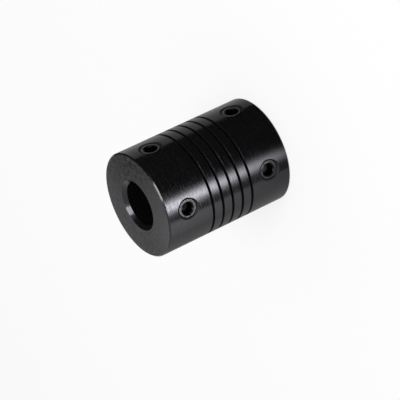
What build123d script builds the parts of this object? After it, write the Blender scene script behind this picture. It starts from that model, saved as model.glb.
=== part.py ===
from build123d import *
import os
from math import cos, radians, sin, sqrt, tan

# One-piece flexible shaft coupling, in millimetres.
# It stands on its lower end face: the origin is the middle of that face, and +Z runs up the shaft axis.
# Angles are degrees around +Z, counted from +X, where the first set screw of each hub is.

# Turned body
body_diameter = 19.0
body_length = 25.4
edge_chamfer = 0.2

# Shaft bore, with a wide lead-in at each mouth
bore_diameter = 8.0
bore_chamfer = 0.65

# Helical cut: one right-handed slit through the wall, which makes the middle of the body a flat spring
# The solid hub at each end is as long as this, up to the middle line of the slit's end
hub_length = 7.625
slit_turns = 5
slit_width = 0.5
slit_middle_angle = 62.0

# Relief: between the two hubs the bore is a little wider, so a shaft grips only in the hubs
relief_depth = 0.2
relief_margin = 0.15

# Tapped holes, two in each hub; the thread's crests and roots are left out, so the hole is as wide as its roots
thread_diameter = 4.0
thread_clearance = 0.05
screw_hole_inset = 4.2
screw_hole_countersink = 0.1
screw_spacing_angle = 82.0

# Set screws: hexagon socket, cup point
screw_length = 4.0
screw_end_chamfer = 0.28
socket_across_flats = 2.0
socket_depth = 1.8
socket_mouth_chamfer = 0.12
socket_drill_angle = 120.0
point_diameter = 2.4
cup_diameter = 2.0
cup_angle = 120.0

# How deep each screw's socket end lies under the body's crown, and how far its socket is turned
upper_screw_a_recess = 0.25
upper_screw_b_recess = 0.25
lower_screw_a_recess = 0.3
lower_screw_b_recess = 0.3
upper_screw_a_turn = -14.0
upper_screw_b_turn = 8.0
lower_screw_a_turn = -20.0
lower_screw_b_turn = 25.0

# How far a cutting shape runs past the material that it cuts
overrun = 1.0

# Sizes that follow from those above
body_radius = body_diameter / 2
bore_radius = bore_diameter / 2
relief_radius = bore_radius + relief_depth
thread_radius = thread_diameter / 2
screw_radius = thread_radius - thread_clearance
middle_height = body_length / 2
slit_height = body_length - 2 * hub_length
slit_pitch = slit_height / slit_turns
relief_height = slit_height + slit_width + 2 * relief_margin
upper_screw_height = body_length - screw_hole_inset
lower_screw_height = screw_hole_inset


def outward(angle):
    """The direction from the shaft axis out to an angle around it."""
    return Vector(cos(radians(angle)), sin(radians(angle)), 0)


def turned_blank():
    """The plain turned body: its half section, turned once around the shaft axis."""
    relief_bottom = middle_height - relief_height / 2
    relief_top = middle_height + relief_height / 2
    half_section = [
        (bore_radius + bore_chamfer, 0),
        (body_radius - edge_chamfer, 0),
        (body_radius, edge_chamfer),
        (body_radius, body_length - edge_chamfer),
        (body_radius - edge_chamfer, body_length),
        (bore_radius + bore_chamfer, body_length),
        (bore_radius, body_length - bore_chamfer),
        (bore_radius, relief_top + relief_depth),
        (relief_radius, relief_top),
        (relief_radius, relief_bottom),
        (bore_radius, relief_bottom - relief_depth),
        (bore_radius, bore_chamfer),
    ]
    section = Plane.XZ * make_face(Polyline(*half_section, close=True))
    return revolve(section, axis=Axis.Z)


def slit_cutter():
    """The space of the helical cut: a thin strip, swept up the helix, with a round radial end at each end."""
    inner = bore_radius - overrun
    outer = body_radius + overrun
    start_angle = slit_middle_angle - 180 * slit_turns
    start_height = middle_height - slit_height / 2
    helix = Helix(slit_pitch, slit_height, (inner + outer) / 2)
    path = Pos(0, 0, start_height) * Rot(0, 0, start_angle) * helix
    strip_plane = Plane(origin=path @ 0, x_dir=outward(start_angle), z_dir=path % 0)
    cutter = sweep(strip_plane * Rectangle(outer - inner, slit_width), path=path, is_frenet=True)
    ends = []
    for turns, height in ((0, start_height), (slit_turns, start_height + slit_height)):
        direction = outward(start_angle + 360 * turns)
        end_plane = Plane(origin=direction * inner + Vector(0, 0, height), z_dir=direction)
        end = Cylinder(slit_width / 2, outer - inner, align=(Align.CENTER, Align.CENTER, Align.MIN))
        ends.append(end_plane * end)
    return cutter + ends


def screw_plane(angle, height, depth=0.0):
    """A plane on a tapped hole's axis, depth under the body's crown, facing out, with its x along the rim."""
    direction = outward(angle)
    origin = direction * (body_radius - depth) + Vector(0, 0, height)
    return Plane(origin=origin, x_dir=outward(angle + 90), z_dir=direction)


def tapped_hole(angle, height):
    """The space of one tapped hole, from inside the bore to outside the body, with its countersink."""
    hole = Cylinder(thread_radius, body_radius + overrun, align=(Align.CENTER, Align.CENTER, Align.MAX))
    sink_height = screw_hole_countersink + overrun
    sink = Cone(
        thread_radius,
        thread_radius + sink_height,
        sink_height,
        align=(Align.CENTER, Align.CENTER, Align.MAX),
    )
    return screw_plane(angle, height) * (Pos(0, 0, overrun) * (hole + sink))


def coupling_body():
    """The body: the turned blank with its four tapped holes and its helical cut."""
    body = turned_blank()
    for height in (lower_screw_height, upper_screw_height):
        for angle in (0, screw_spacing_angle):
            body -= tapped_hole(angle, height)
    return body - slit_cutter()


def set_screw(socket_turn):
    """One set screw along Z, with its socket end at height 0 and its cup point at the bottom."""
    point_radius = point_diameter / 2
    cup_radius = cup_diameter / 2
    cup_depth = cup_radius / tan(radians(cup_angle / 2))
    half_section = [
        (0, 0),
        (screw_radius - screw_end_chamfer, 0),
        (screw_radius, -screw_end_chamfer),
        (screw_radius, -screw_length + screw_radius - point_radius),
        (point_radius, -screw_length),
        (cup_radius, -screw_length),
        (0, -screw_length + cup_depth),
    ]
    screw = revolve(Plane.XZ * make_face(Polyline(*half_section, close=True)), axis=Axis.Z)
    corner_radius = socket_across_flats / sqrt(3)
    flat_radius = socket_across_flats / 2
    socket = extrude(RegularPolygon(corner_radius, 6, rotation=socket_turn), -socket_depth)
    drill_depth = flat_radius / tan(radians(socket_drill_angle / 2))
    drill_tip = Cone(0, flat_radius, drill_depth, align=(Align.CENTER, Align.CENTER, Align.MAX))
    mouth_radius = corner_radius + socket_mouth_chamfer
    mouth_height = mouth_radius - flat_radius
    mouth = Cone(flat_radius, mouth_radius, mouth_height, align=(Align.CENTER, Align.CENTER, Align.MAX))
    return screw - socket - Pos(0, 0, -socket_depth) * drill_tip - mouth


nodes = {"coupling_body": coupling_body()}

# Each set screw's angle, height, recess and socket turn
set_screws = {
    "upper_set_screw_a": (0, upper_screw_height, upper_screw_a_recess, upper_screw_a_turn),
    "upper_set_screw_b": (screw_spacing_angle, upper_screw_height, upper_screw_b_recess, upper_screw_b_turn),
    "lower_set_screw_a": (0, lower_screw_height, lower_screw_a_recess, lower_screw_a_turn),
    "lower_set_screw_b": (screw_spacing_angle, lower_screw_height, lower_screw_b_recess, lower_screw_b_turn),
}
for name, (angle, height, recess, turn) in set_screws.items():
    nodes[name] = screw_plane(angle, height, recess) * set_screw(turn)

os.makedirs("parts", exist_ok=True)
for name, solid in nodes.items():
    solid.label = name
    export_step(solid, "parts/" + name + ".step")
    print(name, "volume", round(solid.volume, 3), "mm3, solids", len(solid.solids()))
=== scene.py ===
# %% [markdown]
# # A flexible shaft coupling in black anodised aluminium
# The real coupling is one turned bar of aluminium, bored through for a shaft, with a helical slit cut
# through the middle of its wall. The slit leaves a flat spring that bends and turns a little between the
# two hubs, and two set screws in each hub hold the shafts.
# The CAD model gives every size and place. Its plain surfaces get here what they lack: threads, tiny edge
# breaks, tool marks, a dark glossy finish, and the light that shows them.

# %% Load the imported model
from math import cos, e, hypot, pi, radians, sin, tan

import bmesh
import bpy
from mathutils import Matrix, Vector


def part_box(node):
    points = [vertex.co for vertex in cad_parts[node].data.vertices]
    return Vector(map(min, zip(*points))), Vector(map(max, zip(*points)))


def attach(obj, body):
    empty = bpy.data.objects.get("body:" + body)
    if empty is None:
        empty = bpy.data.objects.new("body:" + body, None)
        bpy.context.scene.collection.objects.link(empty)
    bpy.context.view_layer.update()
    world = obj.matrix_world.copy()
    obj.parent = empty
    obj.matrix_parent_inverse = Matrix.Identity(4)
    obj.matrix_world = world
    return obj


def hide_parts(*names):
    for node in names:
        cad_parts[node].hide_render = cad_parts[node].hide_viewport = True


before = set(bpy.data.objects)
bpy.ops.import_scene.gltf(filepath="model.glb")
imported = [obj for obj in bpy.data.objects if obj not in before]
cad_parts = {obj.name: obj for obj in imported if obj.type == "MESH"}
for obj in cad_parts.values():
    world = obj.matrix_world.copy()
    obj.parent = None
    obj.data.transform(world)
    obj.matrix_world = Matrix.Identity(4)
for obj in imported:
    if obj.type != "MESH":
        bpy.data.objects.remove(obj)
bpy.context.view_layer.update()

MM = 0.001

# %% [markdown]
# Everything stands where the CAD model stands: the origin is the middle of the lower end face, and +Z runs
# up the shaft axis. The body's radius and length are read from its CAD node. The sizes that a box can't
# tell, such as a chamfer or the slit, are named values.

# %% Sizes of the body
body_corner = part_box("coupling_body")[1]
BODY_RADIUS = body_corner.x
BODY_LENGTH = body_corner.z
MIDDLE_HEIGHT = BODY_LENGTH / 2
BORE_RADIUS = 4.0 * MM
EDGE_CHAMFER = 0.2 * MM
BORE_CHAMFER = 0.65 * MM
RELIEF_DEPTH = 0.2 * MM
RELIEF_HALF = 5.475 * MM
HUB_LENGTH = 7.625 * MM
SLIT_TURNS = 5
SLIT_WIDTH = 0.5 * MM
SLIT_MIDDLE_ANGLE = 62.0
# How far a cutting shape runs past what it cuts
OVERRUN = 1.0 * MM
slit_height = BODY_LENGTH - 2 * HUB_LENGTH
slit_pitch = slit_height / SLIT_TURNS
measures = (BODY_RADIUS, BODY_LENGTH, slit_pitch)
print("Body radius, length and slit pitch in mm:", [round(v / MM, 3) for v in measures])

# %% [markdown]
# ## Modelling as by hand
# Blender's operators act on what is selected, so each step first says what it acts on. A section is drawn
# as a modeller draws it: a primitive is collapsed to one vertex, and that vertex is extruded along the
# outline. Tolerances are far below a micrometre, because Blender's own defaults suit things the size of a
# room.

# %% Helpers: selecting and drawing
MERGE = 1e-8


def deselect():
    """Leaves edit mode with nothing selected, so that an operator can touch only what comes next."""
    if bpy.context.mode != "OBJECT":
        bpy.ops.object.mode_set(mode="OBJECT")
    bpy.ops.object.select_all(action="DESELECT")


def only(thing):
    """Selects one object and makes it the active one."""
    deselect()
    thing.select_set(True)
    bpy.context.view_layer.objects.active = thing


def outline(name, points, closed):
    """Draws edges through the points (radius, height), in the XZ plane."""
    deselect()
    bpy.ops.mesh.primitive_plane_add(size=MM)
    drawing = bpy.context.object
    drawing.name = name
    drawing.data.name = name
    bpy.ops.object.mode_set(mode="EDIT")
    bpy.ops.mesh.select_mode(type="VERT")
    bpy.ops.mesh.merge(type="CENTER")
    here = Vector((0, 0, 0))
    for radius, height in points:
        step = Vector((radius, 0, height)) - here
        if here == Vector((0, 0, 0)) and (radius, height) == points[0]:
            bpy.ops.transform.translate(value=step)
        else:
            bpy.ops.mesh.extrude_region_move(TRANSFORM_OT_translate={"value": step})
        here += step
    if closed:
        bpy.ops.mesh.select_all(action="DESELECT")
        mesh = bmesh.from_edit_mesh(drawing.data)
        for vertex in mesh.verts:
            vertex.select = len(vertex.link_edges) == 1
        bmesh.update_edit_mesh(drawing.data)
        bpy.ops.mesh.edge_face_add()
    bpy.ops.object.mode_set(mode="OBJECT")
    return drawing


def describe(thing):
    """Prints a mesh's size, its faces, and its open edges, of which a closed solid has none."""
    mesh = bmesh.new()
    mesh.from_mesh(thing.data)
    open_edges = sum(1 for edge in mesh.edges if len(edge.link_faces) != 2)
    spans = [[vertex.co[axis] for vertex in mesh.verts] for axis in range(3)]
    size = [round((max(span) - min(span)) / MM, 3) for span in spans]
    volume = round(mesh.calc_volume(signed=True) / MM**3, 2)
    print(thing.name, "mm", size, "mm3", volume, "faces", len(mesh.faces), "open edges", open_edges)
    mesh.free()


# %% [markdown]
# ## The lathe and the winder
# A turned shape is a section spun once around an axis, and a thread or a helical slit is a section wound up
# an axis. The spin operator does the first. The Screw modifier does the second, and leaves its two ends
# open, so they are filled. Normals are recalculated once a shape is closed, because a spin may turn it
# inside out.

# %% Helpers: spinning, winding, placing and cutting
def spun(thing, axis, steps):
    """Spins a section once round an axis through the origin, into a closed solid."""
    only(thing)
    bpy.ops.object.mode_set(mode="EDIT")
    bpy.ops.mesh.select_all(action="SELECT")
    bpy.ops.mesh.spin(steps=steps, angle=2 * pi, center=(0, 0, 0), axis=axis)
    bpy.ops.mesh.select_all(action="SELECT")
    bpy.ops.mesh.remove_doubles(threshold=MERGE)
    bpy.ops.mesh.dissolve_degenerate(threshold=MERGE)
    bpy.ops.mesh.select_all(action="SELECT")
    bpy.ops.mesh.normals_make_consistent(inside=False)
    bpy.ops.object.mode_set(mode="OBJECT")
    return thing


def wound(thing, turns, pitch, steps):
    """Winds a section up the Z axis as a right-handed helix, and closes its two ends."""
    only(thing)
    bpy.ops.object.modifier_add(type="SCREW")
    screw = thing.modifiers[-1]
    screw.angle = 2 * pi
    screw.screw_offset = pitch
    screw.iterations = turns
    screw.steps = steps
    screw.render_steps = steps
    bpy.ops.object.modifier_apply(modifier=screw.name)
    bpy.ops.object.mode_set(mode="EDIT")
    bpy.ops.mesh.select_mode(type="EDGE")
    bpy.ops.mesh.select_all(action="DESELECT")
    bpy.ops.mesh.select_non_manifold()
    bpy.ops.mesh.fill_holes(sides=0)
    bpy.ops.mesh.select_all(action="SELECT")
    bpy.ops.mesh.normals_make_consistent(inside=False)
    bpy.ops.object.mode_set(mode="OBJECT")
    return thing


def placed(thing, matrix):
    """Puts a shape where the matrix says, in its mesh: its object stays at the origin."""
    only(thing)
    thing.matrix_world = matrix
    bpy.ops.object.transform_apply(location=True, rotation=True, scale=True)
    return thing


def copied(thing, name):
    """A copy with its own mesh."""
    only(thing)
    bpy.ops.object.duplicate(linked=False)
    twin = bpy.context.object
    twin.name = name
    twin.data.name = name
    return twin


def joined(things):
    """Several solids that don't touch, as one object."""
    deselect()
    for thing in things:
        thing.select_set(True)
    bpy.context.view_layer.objects.active = things[0]
    bpy.ops.object.join()
    return things[0]


def cut(thing, cutter):
    """Takes the cutter's space out of a solid. The cutter is used up."""
    only(thing)
    bpy.ops.object.modifier_add(type="BOOLEAN")
    boolean = thing.modifiers[-1]
    boolean.operation = "DIFFERENCE"
    boolean.solver = "EXACT"
    boolean.object = cutter
    bpy.ops.object.modifier_apply(modifier=boolean.name)
    bpy.data.objects.remove(cutter)
    describe(thing)


# %% [markdown]
# ## The turned body
# A cylinder with holes cut in it would do, but the real body comes off a lathe, and the section keeps its
# chamfers, its bore and the relief between the hubs in one outline. It has one step for each degree. The
# slit is wound with another number of steps, so that its edges cross the wall's cleanly instead of lying
# along them.

# %% Turn the body
TURN_STEPS = 360
relief_low = MIDDLE_HEIGHT - RELIEF_HALF
relief_high = MIDDLE_HEIGHT + RELIEF_HALF
relief_radius = BORE_RADIUS + RELIEF_DEPTH
body_section = [
    (BORE_RADIUS + BORE_CHAMFER, 0),
    (BODY_RADIUS - EDGE_CHAMFER, 0),
    (BODY_RADIUS, EDGE_CHAMFER),
    (BODY_RADIUS, BODY_LENGTH - EDGE_CHAMFER),
    (BODY_RADIUS - EDGE_CHAMFER, BODY_LENGTH),
    (BORE_RADIUS + BORE_CHAMFER, BODY_LENGTH),
    (BORE_RADIUS, BODY_LENGTH - BORE_CHAMFER),
    (BORE_RADIUS, relief_high + RELIEF_DEPTH),
    (relief_radius, relief_high),
    (relief_radius, relief_low),
    (BORE_RADIUS, relief_low - RELIEF_DEPTH),
    (BORE_RADIUS, BORE_CHAMFER),
]
body = spun(outline("finished_body", body_section, closed=True), (0, 0, 1), TURN_STEPS)
describe(body)

# %% [markdown]
# ## The helical slit
# A thin slitting cutter leaves a helical gap right through the wall, with a round end. Sharp edges are
# broken before anodising, and that hair-thin bevel is what catches the light along each coil. A Bevel
# modifier would have to find those edges after the cut, so the cutter itself flares where it leaves the
# surface.

# %% Wind and cut the slit
EDGE_BREAK = 0.006 * MM
END_STEPS = 24
WINDING_STEPS = 288
slit_half = SLIT_WIDTH / 2
half_strip = [
    (BORE_RADIUS - OVERRUN, slit_half),
    (BODY_RADIUS - EDGE_BREAK, slit_half),
    (BODY_RADIUS + EDGE_BREAK / 2, slit_half + 1.5 * EDGE_BREAK),
    (BODY_RADIUS + OVERRUN, slit_half + 1.5 * EDGE_BREAK),
]
strip = half_strip + [(radius, -height) for radius, height in reversed(half_strip)]
end_section = [(half_strip[0][0], 0)] + half_strip + [(half_strip[-1][0], 0)]


def turned_to(angle, height):
    """The place of a thing made at angle 0 and height 0: raised, and turned about the shaft axis."""
    return Matrix.Translation((0, 0, height)) @ Matrix.Rotation(radians(angle), 4, "Z")


first_angle = SLIT_MIDDLE_ANGLE - 180 * SLIT_TURNS
winding = wound(outline("slit_winding", strip, closed=True), SLIT_TURNS, slit_pitch, WINDING_STEPS)
placed(winding, turned_to(first_angle, HUB_LENGTH))
describe(winding)
lower_end = spun(outline("slit_end", end_section, closed=False), (1, 0, 0), END_STEPS)
upper_end = copied(lower_end, "slit_upper_end")
placed(lower_end, turned_to(first_angle, HUB_LENGTH))
placed(upper_end, turned_to(first_angle, HUB_LENGTH + slit_height))
ends = joined([lower_end, upper_end])
describe(ends)
cut(body, winding)
cut(body, ends)

# %% [markdown]
# ## Drilled and tapped holes
# Each hub has two tapped holes for its set screws. A hole is drilled at the thread's inner diameter,
# countersunk, and then tapped: a vee as deep as the thread is wound up the hole's axis and taken out of the
# wall. Hole and screw share one pitch and one phase, so that the screw's ridges lie in the hole's grooves.

# %% Sizes of the threads, and the place of each screw
THREAD_PITCH = 0.7 * MM
THREAD_STEPS = 64
CREST_HALF = THREAD_PITCH / 16
FLANK_SLOPE = tan(radians(30))
HOLE_CREST = 1.62 * MM
HOLE_ROOT = 2.0 * MM
HOLE_COUNTERSINK = 0.1 * MM
HOLE_DEPTH = BODY_RADIUS - 3.25 * MM
# How far inside the drilled wall the tap's vee begins
TAP_START = 0.2 * MM

# Each screw's angle round the shaft, its depth under the body's crown, and how far its socket is turned
SCREWS = {
    "upper_set_screw_a": (0, 0.25 * MM, -14),
    "upper_set_screw_b": (82, 0.25 * MM, 8),
    "lower_set_screw_a": (0, 0.3 * MM, -20),
    "lower_set_screw_b": (82, 0.3 * MM, 25),
}


def screw_place(node, recess):
    """The place of a thing on a screw's axis, recess under the crown, with its +Z out and its +Y up."""
    angle, _, turn = SCREWS[node]
    low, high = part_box(node)
    out = Vector((cos(radians(angle)), sin(radians(angle)), 0))
    up = Vector((0, 0, 1))
    axes = Matrix((up.cross(out), up, out)).transposed().to_4x4()
    centre = out * (BODY_RADIUS - recess) + up * (low.z + high.z) / 2
    return Matrix.Translation(centre) @ axes @ Matrix.Rotation(radians(turn), 4, "Z")


print("Thread pitch and hole depth in mm:", round(THREAD_PITCH / MM, 2), round(HOLE_DEPTH / MM, 2))

# %% [markdown]
# One drill and one tap are made and copied to the four places, and each set of copies is cut in one go. The
# drill's section holds the countersink too. Cutting the holes after the slit keeps the body closed: the
# other way round, the solver leaves thousands of open edges, which the printed line would show.

# %% Drill, countersink and tap
wide = HOLE_ROOT + HOLE_COUNTERSINK
drill_section = [
    (0, -HOLE_DEPTH),
    (HOLE_CREST, -HOLE_DEPTH),
    (HOLE_CREST, HOLE_CREST - wide),
    (wide + OVERRUN, OVERRUN),
    (0, OVERRUN),
]
root_half = CREST_HALF + (HOLE_ROOT - HOLE_CREST) * FLANK_SLOPE
tap_vee = [
    (HOLE_CREST - TAP_START, -root_half),
    (HOLE_CREST, -root_half),
    (HOLE_ROOT, -CREST_HALF),
    (HOLE_ROOT, CREST_HALF),
    (HOLE_CREST, root_half),
    (HOLE_CREST - TAP_START, root_half),
]
tap_turns = int(HOLE_DEPTH / THREAD_PITCH) + 2
drill = spun(outline("drill", drill_section, closed=False), (0, 0, 1), THREAD_STEPS)
tap = wound(outline("tap", tap_vee, closed=True), tap_turns, THREAD_PITCH, THREAD_STEPS)
placed(tap, Matrix.Translation((0, 0, -THREAD_PITCH * (tap_turns - 2))))
describe(drill)
describe(tap)
drills = []
taps = []
for node, (angle, recess, turn) in SCREWS.items():
    drills.append(placed(copied(drill, "drill_copy"), screw_place(node, 0)))
    taps.append(placed(copied(tap, "tap_copy"), screw_place(node, recess)))
bpy.data.objects.remove(drill)
bpy.data.objects.remove(tap)
cut(body, joined(drills))
cut(body, joined(taps))

# %% [markdown]
# ## Set screws
# A set screw has no head: a short threaded stud with a hexagon socket in one end and a cup point at the
# other, which bites into the shaft. It is turned, threaded, drilled and broached here in the order of the
# real work, so each shape is cut once and the thread runs out on both chamfers by itself. One screw is
# made, and then copied.

# %% Turn and thread one screw
SCREW_CREST = 1.95 * MM
SCREW_ROOT = 1.52 * MM
SCREW_LENGTH = 4.0 * MM
SCREW_END_CHAMFER = 0.28 * MM
POINT_RADIUS = 1.2 * MM
CUP_RADIUS = 1.0 * MM
CUP_DEPTH = CUP_RADIUS / tan(radians(60))
SOCKET_FLAT = 1.0 * MM
SOCKET_DEPTH = 1.8 * MM
SOCKET_MOUTH = 0.12 * MM
SOCKET_CORNER_ROUND = 0.05 * MM
# How far the die reaches past the thread's crest, and how much the pilot drill is smaller than the flats
DIE_OVER_CREST = 0.02 * MM
PILOT_MARGIN = 0.01 * MM

blank_section = [
    (0, 0),
    (SCREW_CREST - SCREW_END_CHAMFER, 0),
    (SCREW_CREST, -SCREW_END_CHAMFER),
    (SCREW_CREST, SCREW_CREST - POINT_RADIUS - SCREW_LENGTH),
    (POINT_RADIUS, -SCREW_LENGTH),
    (CUP_RADIUS, -SCREW_LENGTH),
    (0, CUP_DEPTH - SCREW_LENGTH),
]
gap_half = THREAD_PITCH / 2 - CREST_HALF
floor_half = gap_half - (SCREW_CREST - SCREW_ROOT) * FLANK_SLOPE
die_outer = SCREW_CREST + DIE_OVER_CREST
wide_half = gap_half + DIE_OVER_CREST * FLANK_SLOPE
die_vee = [
    (SCREW_ROOT, -floor_half),
    (die_outer, -wide_half),
    (SCREW_CREST + OVERRUN, -wide_half),
    (SCREW_CREST + OVERRUN, wide_half),
    (die_outer, wide_half),
    (SCREW_ROOT, floor_half),
]
die_turns = int(SCREW_LENGTH / THREAD_PITCH) + 3
screw = spun(outline("set_screw", blank_section, closed=False), (0, 0, 1), THREAD_STEPS)
die = wound(outline("die", die_vee, closed=True), die_turns, THREAD_PITCH, THREAD_STEPS)
half_step = Matrix.Rotation(pi / THREAD_STEPS, 4, "Z")
placed(die, Matrix.Translation((0, 0, -THREAD_PITCH * (die_turns - 1.5))) @ half_step)
describe(screw)
describe(die)
cut(screw, die)

# %% [markdown]
# A hexagon can't be drilled. A pilot hole as wide as the flats comes first, with a cone at its mouth and the
# drill's own cone at its end. A broach then shears the six corners, which are a little round, as the tool's
# are. Here the broach is a cylinder of six sides with its upright edges bevelled.

# %% Drill the pilot hole and broach the socket
corner_radius = SOCKET_FLAT / cos(radians(30))
mouth_radius = corner_radius + SOCKET_MOUTH
pilot_radius = SOCKET_FLAT - PILOT_MARGIN
pilot_section = [
    (0, -SOCKET_DEPTH - pilot_radius / tan(radians(60))),
    (pilot_radius, -SOCKET_DEPTH),
    (pilot_radius, pilot_radius - mouth_radius),
    (mouth_radius + OVERRUN, OVERRUN),
    (0, OVERRUN),
]
cut(screw, spun(outline("pilot_drill", pilot_section, closed=False), (0, 0, 1), THREAD_STEPS))

deselect()
broach_height = SOCKET_DEPTH + OVERRUN
bpy.ops.mesh.primitive_cylinder_add(
    vertices=6,
    radius=corner_radius,
    depth=broach_height,
    location=(0, 0, broach_height / 2 - SOCKET_DEPTH),
    rotation=(0, 0, radians(30)),
)
broach = bpy.context.object
broach.name = "broach"
bpy.ops.object.transform_apply(location=True, rotation=True, scale=True)
bpy.ops.object.mode_set(mode="EDIT")
bpy.ops.mesh.select_mode(type="EDGE")
bpy.ops.mesh.select_all(action="DESELECT")
broach_mesh = bmesh.from_edit_mesh(broach.data)
for edge in broach_mesh.edges:
    edge.select = abs(edge.verts[0].co.z - edge.verts[1].co.z) > broach_height / 2
bmesh.update_edit_mesh(broach.data)
bpy.ops.mesh.bevel(offset_type="OFFSET", offset=SOCKET_CORNER_ROUND, segments=2, affect="EDGES")
bpy.ops.object.mode_set(mode="OBJECT")
describe(broach)
cut(screw, broach)

# %% [markdown]
# Each screw is a copy with its own mesh, turned as far as that screw's key left it. A real screw is turned
# by the thread as it goes in, and the tap was turned with it above, so ridge and groove still meet. What it
# prints compares each mesh with its CAD node.

# %% Copy it into the four holes
screws = {}
for node, (angle, recess, turn) in SCREWS.items():
    twin = placed(copied(screw, node + "_threaded"), screw_place(node, recess))
    screws[node] = twin
    low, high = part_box(node)
    spans = [[vertex.co[axis] for vertex in twin.data.vertices] for axis in range(3)]
    below = [round((min(span) - edge) / MM, 3) for span, edge in zip(spans, low)]
    above = [round((max(span) - edge) / MM, 3) for span, edge in zip(spans, high)]
    print(node, "off its CAD box by mm", below, above)
bpy.data.objects.remove(screw)

# %% [markdown]
# ## Smooth and sharp
# Turned and threaded surfaces are smooth along the cut and sharp at their edges. Shade Smooth by Angle does
# both at once: faces that meet at less than the angle share their normals, and the chamfers stay crisp.

# %% Shade by angle
SHARP_ANGLE = radians(28)
for piece in [body] + list(screws.values()):
    only(piece)
    bpy.ops.object.shade_smooth_by_angle(angle=SHARP_ANGLE)
print("Smoothed", 1 + len(screws), "pieces")

# %% [markdown]
# ## Shader maths
# A procedural finish is arithmetic on coordinates. This small class wraps the output of a node, so that a
# formula such as 1 - mask adds its Math nodes by itself, and one method adds any other kind of node.

# %% A socket that can be added, multiplied and passed on
class Flow:
    """The output of a shader node."""

    def __init__(self, socket):
        self.socket = socket

    @staticmethod
    def node(tree, kind, settings=None, sockets=None, output=0):
        """Adds a node of that type. Settings come first, then the sockets' values or links."""
        node = tree.nodes.new(kind)
        for key, value in (settings or {}).items():
            setattr(node, key, value)
        for key, value in (sockets or {}).items():
            if isinstance(value, Flow):
                tree.links.new(value.socket, node.inputs[key])
            else:
                node.inputs[key].default_value = value
        return Flow(node.outputs[output]) if node.outputs else None

    def maths(self, operation, first, second):
        """One Math node."""
        tree = self.socket.id_data
        return Flow.node(tree, "ShaderNodeMath", {"operation": operation}, {0: first, 1: second})

    def __add__(self, other):
        return self.maths("ADD", self, other)

    def __radd__(self, other):
        return self.maths("ADD", other, self)

    def __sub__(self, other):
        return self.maths("SUBTRACT", self, other)

    def __rsub__(self, other):
        return self.maths("SUBTRACT", other, self)

    def __mul__(self, other):
        return self.maths("MULTIPLY", self, other)

    def __rmul__(self, other):
        return self.maths("MULTIPLY", other, self)

    def __truediv__(self, other):
        return self.maths("DIVIDE", self, other)

    def __pow__(self, other):
        return self.maths("POWER", self, other)

    def __rpow__(self, other):
        return self.maths("POWER", other, self)


def new_material(name):
    """An empty material, with its output node."""
    material = bpy.data.materials.new(name)
    material.use_nodes = True
    material.node_tree.nodes.clear()
    return material


def finish_with(material, shader):
    """Links a shader to the material's surface."""
    Flow.node(material.node_tree, "ShaderNodeOutputMaterial", sockets={"Surface": shader})
    print("Material", material.name, "nodes", len(material.node_tree.nodes))
    return material


# %% [markdown]
# ## Black anodised aluminium
# Anodising grows a clear, hard oxide on the metal, and the dye in it makes it black. So the colour is
# nearly nothing, and all that shows is a reflection, as on dark glass. It isn't a clean one: the lathe's
# feed leaves fine grooves round the body. Along a turned shape such grooves depend on height and radius
# alone, so a noise of one dimension draws them on the wall, the end faces and the chamfers. A second noise
# breaks them into dashes. Where both are high the surface is rougher, and that is what streaks a highlight.

# %% Sizes of the tool marks
GROOVES_PER_MM = 5.0
GROOVE_DEPTH = 0.0060 * MM
CHATTER_PER_MM = 1.3
CHATTER_STRETCH = 5.0
CHATTER_DEPTH = 0.0150 * MM
# How much faster the grooves' coordinate grows outwards than upwards
RADIUS_SHARE = 1.37
GRAIN_PER_MM = 16.0
GRAIN_DEPTH = 0.0005 * MM
SMOOTHEST = 0.04
ROUGHEST = 0.31
STREAK_ROUGHNESS = 0.11
print("Roughness from", SMOOTHEST, "to", ROUGHEST)

# %% [markdown]
# The marks are made of a few parts that each do one thing: a coordinate that follows the tool, noises of one
# and three dimensions, and a bump whose depth is a length. All read Object coordinates, so they stay in place
# on the piece and need no UV map.

# %% Helpers: coordinates, noises and bumps
def separated(tree, vector):
    """The X, Y and Z of a vector."""
    x = Flow.node(tree, "ShaderNodeSeparateXYZ", sockets={0: vector})
    return [Flow(output) for output in x.socket.node.outputs]


def turned_coordinate(tree, point):
    """A length in mm that grows along the tool's path: up the wall, and outwards on an end face."""
    x, y, z = separated(tree, point)
    radius = (x * x + y * y) ** 0.5
    return (z + RADIUS_SHARE * radius) / MM


def flattened(tree, point):
    """The point with its Z stretched, so that a noise of it lies in short dashes round the body."""
    x, y, z = separated(tree, point)
    return Flow.node(tree, "ShaderNodeCombineXYZ", sockets={0: x, 1: y, 2: CHATTER_STRETCH * z})


def noise_1d(tree, along, per_mm, detail):
    """Noise along one coordinate, about 0.5 in the middle."""
    settings = {"noise_dimensions": "1D"}
    return Flow.node(tree, "ShaderNodeTexNoise", settings, {"W": along, "Scale": per_mm, "Detail": detail})


def noise_3d(tree, point, per_mm, detail):
    """Noise in space, about 0.5 in the middle."""
    settings = {"noise_dimensions": "3D"}
    sockets = {"Vector": point, "Scale": per_mm / MM, "Detail": detail}
    return Flow.node(tree, "ShaderNodeTexNoise", settings, sockets)


def bump(tree, height, depth, under=None):
    """A Bump node whose height of 1 stands that many metres proud."""
    sockets = {"Height": height, "Distance": depth, "Strength": 1.0}
    if under:
        sockets["Normal"] = under
    return Flow.node(tree, "ShaderNodeBump", sockets=sockets)


def mixed(tree, share, first, second):
    """The first colour where the share is 0, and the second where it is 1."""
    return Flow.node(tree, "ShaderNodeMix", {"data_type": "RGBA"}, {0: share, 6: first, 7: second}, output=2)


# %% [markdown]
# The finish itself is one Principled shader. Three bumps lie over each other, from the coarse grooves to the
# fine grain, and the same noises set the roughness.

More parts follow.
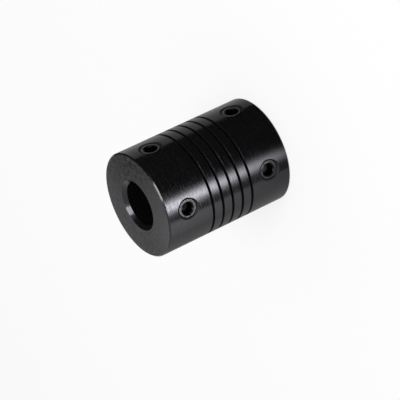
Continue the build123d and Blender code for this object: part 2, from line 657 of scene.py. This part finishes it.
# %% The anodised finish
def anodised():
    """Black anodised aluminium with the marks of turning."""
    material = new_material("black_anodised_aluminium")
    tree = material.node_tree
    point = Flow.node(tree, "ShaderNodeTexCoord", output=3)
    along = turned_coordinate(tree, point)
    grooves = noise_1d(tree, along, GROOVES_PER_MM, 3.0)
    chatter = noise_3d(tree, flattened(tree, point), CHATTER_PER_MM, 3.0)
    grain = noise_3d(tree, point, GRAIN_PER_MM, 1.0)
    normal = bump(tree, grooves, GROOVE_DEPTH)
    normal = bump(tree, chatter, CHATTER_DEPTH, normal)
    normal = bump(tree, grain, GRAIN_DEPTH, normal)
    # A noise is about a half in the middle, so this is about 1 there
    streaks = (4 * grooves * chatter) ** 2
    sockets = {
        "Base Color": mixed(tree, grain, (0.0028, 0.0027, 0.0030, 1), (0.0046, 0.0045, 0.0049, 1)),
        "Roughness": streaks.maths("MINIMUM", SMOOTHEST + STREAK_ROUGHNESS * streaks, ROUGHEST),
        "IOR": 1.53,
        "Specular Tint": (0.92, 0.90, 1.0, 1),
        "Normal": normal,
    }
    return finish_with(material, Flow.node(tree, "ShaderNodeBsdfPrincipled", sockets=sockets))


# %% [markdown]
# ## Dull black, and blackened steel
# No tool polishes the walls of the slit and the tapped holes, so the same anodising is duller there, and its
# base colour is made lighter, which is painted light in these shaded walls. The screws are steel with a black
# oxide on it, which is thin enough for the metal to show through: a metallic shader with a dark base colour,
# in blotches. The rim is the same steel with a lighter base colour, which is a painted highlight.

# %% The other finishes
def dull_black():
    """The anodised finish inside the tapped holes and the slit: rougher, with a lighter base colour as
    painted light on these shaded walls.
    """
    material = new_material("dull_black_anodised_painted_light")
    tree = material.node_tree
    point = Flow.node(tree, "ShaderNodeTexCoord", output=3)
    grain = noise_3d(tree, point, 12.0, 2.0)
    sockets = {
        # This lighter base colour is painted light in the shaded slit and holes
        "Base Color": (0.008, 0.0077, 0.0086, 1),
        "Roughness": 0.45 + 0.2 * grain,
        "Specular IOR Level": 0.25,
        "Normal": bump(tree, grain, 0.001 * MM),
    }
    return finish_with(material, Flow.node(tree, "ShaderNodeBsdfPrincipled", sockets=sockets))


def oxide_steel(name, darker, lighter, roughness):
    """Black-oxidised steel: a dark metal with a little oil on it."""
    material = new_material(name)
    tree = material.node_tree
    point = Flow.node(tree, "ShaderNodeTexCoord", output=3)
    grain = noise_3d(tree, point, 9.0, 3.0)
    # The power makes the blotches few, and the factor makes them strong
    blotches = 5 * noise_3d(tree, point, 2.2, 3.0) ** 3
    sockets = {
        "Base Color": mixed(tree, blotches, darker, lighter),
        "Metallic": 1.0,
        "Roughness": roughness + 0.16 * grain,
        "Normal": bump(tree, grain, 0.004 * MM),
    }
    return finish_with(material, Flow.node(tree, "ShaderNodeBsdfPrincipled", sockets=sockets))


body_finish = anodised()
dull_painted_light_finish = dull_black()
screw_finish = oxide_steel("black_oxide_steel", (0.010, 0.010, 0.011, 1), (0.022, 0.022, 0.024, 1), 0.24)
# The rim's lighter base colours are a painted highlight on the socket's rim
rim_highlight_finish = oxide_steel("screw_rim_painted_highlight", (0.045, 0.044, 0.047, 1), (0.125, 0.123, 0.131, 1), 0.20)

# %% [markdown]
# ## Which face gets which finish
# A piece may carry two finishes, one for each material slot, and each face says which slot it uses. The
# flat rim round a screw's socket gets a lighter steel, which is a painted highlight. The body's dull faces,
# whose lighter base colour is painted light, are those within a tapped hole's radius of its axis, and the
# slit's, which are the only level ones between the two end faces.

# %% Give the faces their finishes
LEVEL = 0.9
END_MARGIN = 1.0 * MM
NEARLY = 0.01 * MM
body.data.materials.append(body_finish)
body.data.materials.append(dull_painted_light_finish)
hole_axes = [screw_place(node, 0).inverted() for node in SCREWS]
in_hole = []
for vertex in body.data.vertices:
    spots = [axis @ vertex.co for axis in hole_axes]
    in_hole.append(any(hypot(spot.x, spot.y) < wide + NEARLY and spot.z > -HOLE_DEPTH for spot in spots))
for face in body.data.polygons:
    between_ends = abs(face.center.z - MIDDLE_HEIGHT) < MIDDLE_HEIGHT - END_MARGIN
    in_slit = between_ends and abs(face.normal.z) > LEVEL
    face.material_index = 1 if in_slit or all(in_hole[index] for index in face.vertices) else 0
for node, piece in screws.items():
    piece.data.materials.append(screw_finish)
    piece.data.materials.append(rim_highlight_finish)
    own_axis = screw_place(node, SCREWS[node][1]).inverted()
    for face in piece.data.polygons:
        on_rim = abs((own_axis @ face.center).z) < NEARLY / 10
        face.material_index = 1 if on_rim else 0
print("Dull faces:", sum(face.material_index for face in body.data.polygons))
print("Faces on a rim:", sum(face.material_index for face in piece.data.polygons))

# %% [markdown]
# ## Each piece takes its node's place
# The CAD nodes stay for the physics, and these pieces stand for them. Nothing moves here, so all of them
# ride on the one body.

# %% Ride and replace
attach(body, "root")
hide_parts("coupling_body")
for node, piece in screws.items():
    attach(piece, "root")
    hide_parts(node)
print("Pieces:", [body.name] + [piece.name for piece in screws.values()])

# %% [markdown]
# ## Camera
# The photograph looks down on one end with a long lens. The coupling stands on its end here, as it would on
# a bench, so the camera is rolled instead: the shaft axis runs down to the left of the picture. The
# camera's place and turn come from fitting the outline of the real body to the CAD sizes.

# %% Place the camera
CAMERA_PLACE = Vector((310.4167, 152.4911, 187.9858)) * MM
CAMERA_RIGHT = Vector((0.55603744, -0.20326985, -0.80591794))
CAMERA_UP = Vector((-0.23326829, 0.89249768, -0.38604895))
FOCAL_PIXELS = 2261.514
PICTURE_PIXELS = 400
SENSOR = 36.0
camera_data = bpy.data.cameras.new("camera")
camera_data.sensor_width = SENSOR
camera_data.lens = SENSOR * FOCAL_PIXELS / PICTURE_PIXELS
camera = bpy.data.objects.new("camera", camera_data)
bpy.context.scene.collection.objects.link(camera)
camera_axes = Matrix((CAMERA_RIGHT, CAMERA_UP, CAMERA_RIGHT.cross(CAMERA_UP))).transposed().to_4x4()
camera.matrix_world = Matrix.Translation(CAMERA_PLACE) @ camera_axes
bpy.context.scene.camera = camera
print("Lens in mm:", round(camera_data.lens, 2))

# %% [markdown]
# ## Floor and surround
# The floor and the world are white to the camera, and a little less so in reflections. The floor's own
# emission is mixed in only for those rays, so that the lamps don't have to burn it white, and a soft shadow
# still shows on it.

# %% Floor and world
FLOOR_SIZE = 4.0
FLOOR_SHARE = 0.75
WORLD_LEVEL = 0.75
deselect()
bpy.ops.mesh.primitive_plane_add(size=FLOOR_SIZE)
floor = bpy.context.object
floor.name = "floor"
floor_finish = new_material("white_floor")
tree = floor_finish.node_tree
seen = Flow.node(tree, "ShaderNodeLightPath", output=0)
mirrored = Flow.node(tree, "ShaderNodeLightPath", output=3)
through = Flow.node(tree, "ShaderNodeLightPath", output=6)
shown = Flow.node(tree, "ShaderNodeMath", {"operation": "MAXIMUM"}, {0: seen, 1: mirrored})
shown = Flow.node(tree, "ShaderNodeMath", {"operation": "MAXIMUM"}, {0: shown, 1: through})
white = Flow.node(tree, "ShaderNodeEmission", sockets={"Strength": 1.0})
matt = Flow.node(tree, "ShaderNodeBsdfDiffuse", sockets={"Color": (0.8, 0.8, 0.8, 1)})
both = Flow.node(tree, "ShaderNodeMixShader", sockets={0: FLOOR_SHARE * shown, 1: matt, 2: white})
finish_with(floor_finish, both)
floor.data.materials.append(floor_finish)

world = bpy.data.worlds.new("surround")
bpy.context.scene.world = world
world.use_nodes = True
tree = world.node_tree
tree.nodes.clear()
seen = Flow.node(tree, "ShaderNodeLightPath", output=0)
level = WORLD_LEVEL + (1 - WORLD_LEVEL) * seen
sky = Flow.node(tree, "ShaderNodeBackground", sockets={"Color": (1, 1, 1, 1), "Strength": level})
Flow.node(tree, "ShaderNodeOutputWorld", sockets={"Surface": sky})
print("World level in reflections:", WORLD_LEVEL)

# %% [markdown]
# ## Light cards
# A studio lights dark glossy things with cards: each surface shows the card that it mirrors. Only
# reflections see these, so the floor and the background stay as they are. A card's brightness is given at
# its four corners, and a strip light adds a soft glow along its middle.

# %% Helpers: a card and its light
GLOW_NARROWNESS = 41.0
DARKEST = 0.004


def card_light(name, near, far, glow):
    """A card's light: its level at the two near corners, at the two far ones, and the glow near and far."""
    finish = new_material(name)
    tree = finish.node_tree
    across, out, _ = separated(tree, Flow.node(tree, "ShaderNodeTexCoord", output=2))
    near_level = near[0] + (near[1] - near[0]) * across
    far_level = far[0] + (far[1] - far[0]) * across
    level = near_level + (far_level - near_level) * out
    from_middle = across - 0.5
    bell = e ** (-GLOW_NARROWNESS * (from_middle * from_middle))
    level = level + (glow[0] + (glow[1] - glow[0]) * out) * bell
    level = level.maths("MAXIMUM", level, DARKEST)
    return finish_with(finish, Flow.node(tree, "ShaderNodeEmission", sockets={"Strength": level}))


def card(name, place_of, near, far, glow=(0, 0), steps=12):
    """A grid whose points go where place_of(across, out) says. Only reflections see it."""
    deselect()
    bpy.ops.mesh.primitive_grid_add(x_subdivisions=steps, y_subdivisions=1, size=2)
    thing = bpy.context.object
    thing.name = name
    for vertex in thing.data.vertices:
        vertex.co = place_of((vertex.co.x + 1) / 2, (vertex.co.y + 1) / 2)
    thing.data.materials.append(card_light(name + "_light", near, far, glow))
    thing.visible_camera = False
    thing.visible_diffuse = False
    thing.visible_shadow = False
    thing.visible_transmission = False
    return thing


# %% [markdown]
# ## Cards on the floor
# A black glossy cylinder that stands on a floor mirrors only the floor. Each card spans what the wall
# mirrors between two of its angles, as the camera sees it: a ray that meets the wall at an angle leaves it
# at twice that angle less the camera's own, and the higher it meets the wall, the farther out it lands.

# %% Lay the floor cards
VIEW_ANGLE = 26.8
CARD_REACH = 62 * MM
CARD_HEIGHT = 0.05 * MM
# How far from the wall a card begins
CARD_START = 0.3 * MM


def floor_card(name, first, last, near, far, glow=(0, 0), farthest=CARD_REACH):
    """A card for the wall between two angles, out to the farthest reach."""

    def place_of(across, out):
        angle = radians(first + (last - first) * across)
        leaving = 2 * angle - radians(VIEW_ANGLE)
        reach = farthest * out + CARD_START
        x = BODY_RADIUS * cos(angle) + reach * cos(leaving)
        y = BODY_RADIUS * sin(angle) + reach * sin(leaving)
        return x, y, CARD_HEIGHT

    return card(name, place_of, near, far, glow)


floor_card("grey_near_edge", -70, -46, near=(0.29, 0.34), far=(0.24, 0.26))
floor_card("grey_near_side", -46, -25, near=(0.38, 0.53), far=(0.28, 0.66))
floor_card("grey_beside_strip", -25, -7, near=(0.53, 0.60), far=(0.80, 2.30))
floor_card("strip_light", -7, 27.2, near=(0.20, 0.01), far=(0.40, 0.01), glow=(2.0, 22.0))
black = (0.008, 0.008)
floor_card("black_flag", 27.2, 76, near=black, far=black, farthest=2 * CARD_REACH)
floor_card("grey_far_side", 76, 102, near=(0.34, 0.49), far=(0.34, 0.53))
floor_card("grey_far_edge", 102, 120, near=(0.47, 0.17), far=(0.50, 0.20))

# %% [markdown]
# ## Standing cards
# The end face mirrors what stands behind it: one small card, light at two opposite corners and dark at the
# other two. The chamfers mirror what is higher up, where a black flag hangs on the far side.

# %% Stand the cards
def standing_card(name, first, last, low, high, distance, near, far):
    """An upright card, bent round the shaft axis between two azimuths. Its near edge is the lower one."""

    def place_of(across, out):
        azimuth = radians(first + (last - first) * across)
        return distance * cos(azimuth), distance * sin(azimuth), low + (high - low) * out

    return card(name, place_of, near, far, steps=24)


near = (0.59, -0.03)
far = (-0.57, 1.70)
dark = (0.02, 0.02)
standing_card("card_behind", 193.3, 220.3, 48.5 * MM, 62.6 * MM, 60 * MM, near, far)
standing_card("black_flag_behind", 75, 185, 10 * MM, 500 * MM, 300 * MM, dark, dark)

# %% [markdown]
# ## Lamps
# One soft box hangs high on the camera's side. It lights the chamfers and draws the soft shadow, and the
# white surround does the rest.

# %% Hang the soft box
LAMP_AZIMUTH = 35.0
LAMP_ELEVATION = 63.0
LAMP_DISTANCE = 0.4
LAMP_SIZE = 0.17
LAMP_POWER = 0.8
toward = Vector((
    cos(radians(LAMP_ELEVATION)) * cos(radians(LAMP_AZIMUTH)),
    cos(radians(LAMP_ELEVATION)) * sin(radians(LAMP_AZIMUTH)),
    sin(radians(LAMP_ELEVATION)),
))
lamp_data = bpy.data.lights.new("soft_box", "AREA")
lamp_data.shape = "SQUARE"
lamp_data.size = LAMP_SIZE
lamp_data.energy = LAMP_POWER
lamp = bpy.data.objects.new("soft_box", lamp_data)
bpy.context.scene.collection.objects.link(lamp)
facing = toward.to_track_quat("Z", "Y").to_matrix().to_4x4()
lamp.matrix_world = Matrix.Translation(toward * LAMP_DISTANCE) @ facing
print("Soft box at mm:", [round(c / MM) for c in lamp.matrix_world.translation])

# %% [markdown]
# ## Finish
# Standard view transform.

# %% Set the view transform and end
bpy.context.scene.view_settings.view_transform = "Standard"
deselect()
